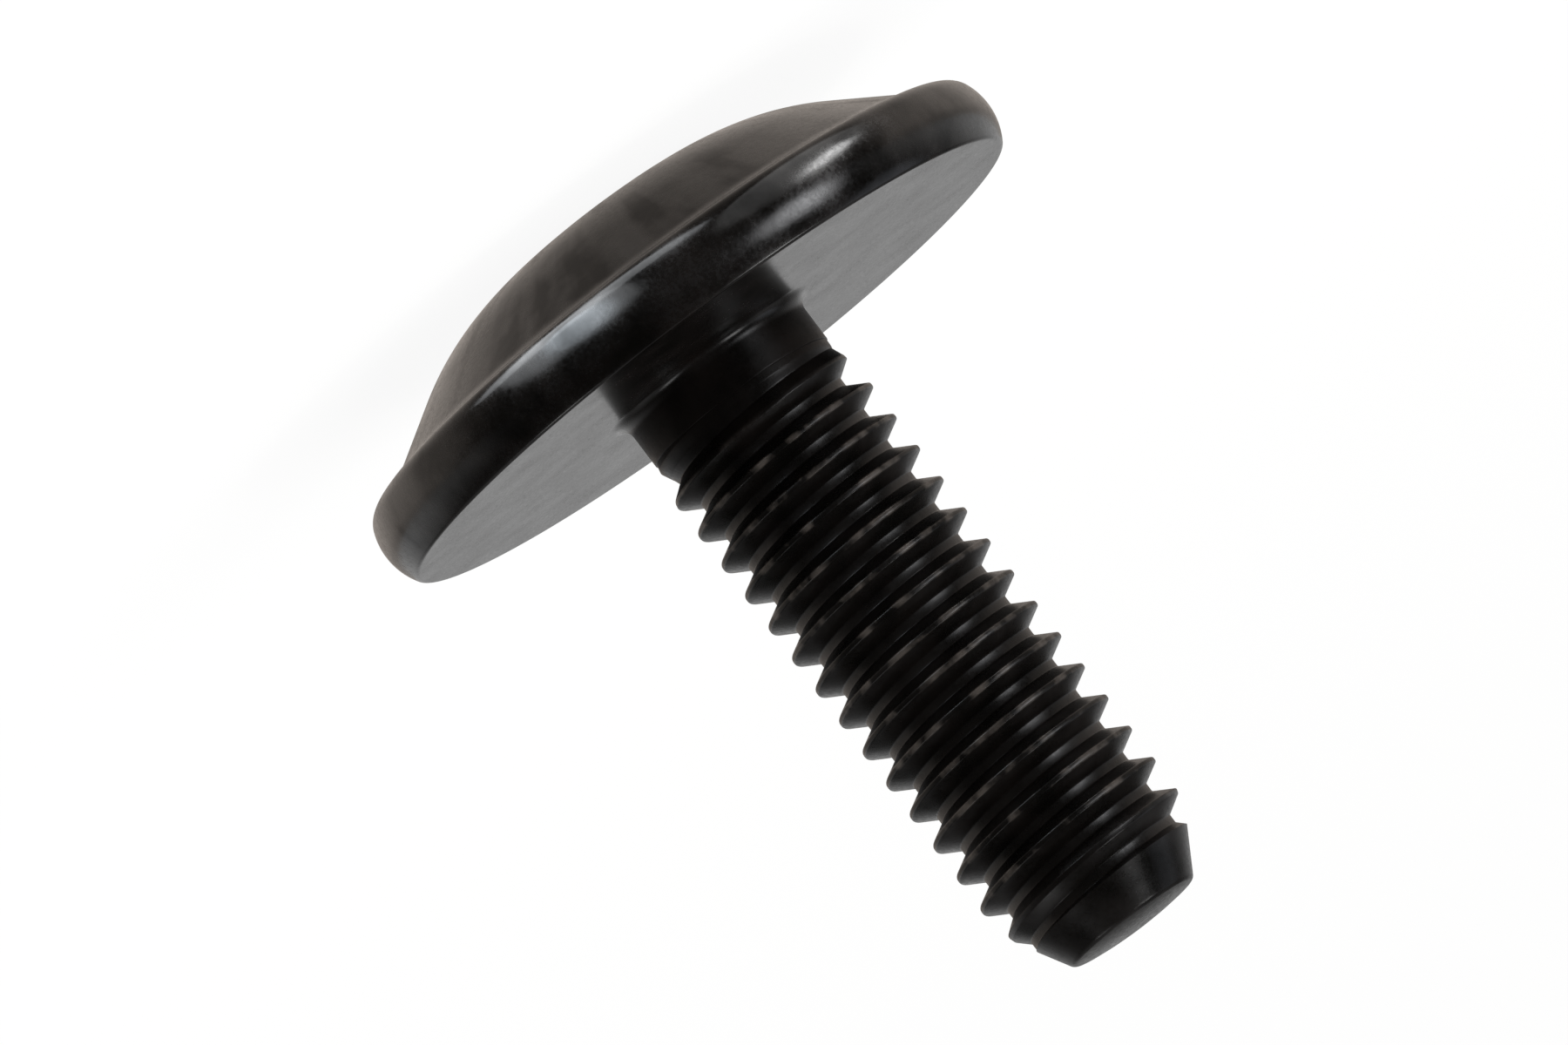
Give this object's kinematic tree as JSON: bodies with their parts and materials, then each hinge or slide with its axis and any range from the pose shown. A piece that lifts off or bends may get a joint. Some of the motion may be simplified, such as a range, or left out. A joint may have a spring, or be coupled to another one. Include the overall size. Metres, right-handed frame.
{
  "type": "machine screw",
  "caption": "Black steel machine screw with a wide domed head, a thick rounded rim, a plain neck, a right-hand thread and a chamfered tip. Clamps a panel to a threaded hole.",
  "frame": {"origin": "centre of the flat bearing face under the head", "axes": "+Z along the shank, from the head to the tip; the screw stands on its crown"},
  "size_m": [0.0192, 0.0192, 0.0227],
  "materials": {
    "black_coat": "glossy black coat on steel"
  },
  "bodies": {
    "root": {"screw": "black_coat"}
  },
  "joints": []
}
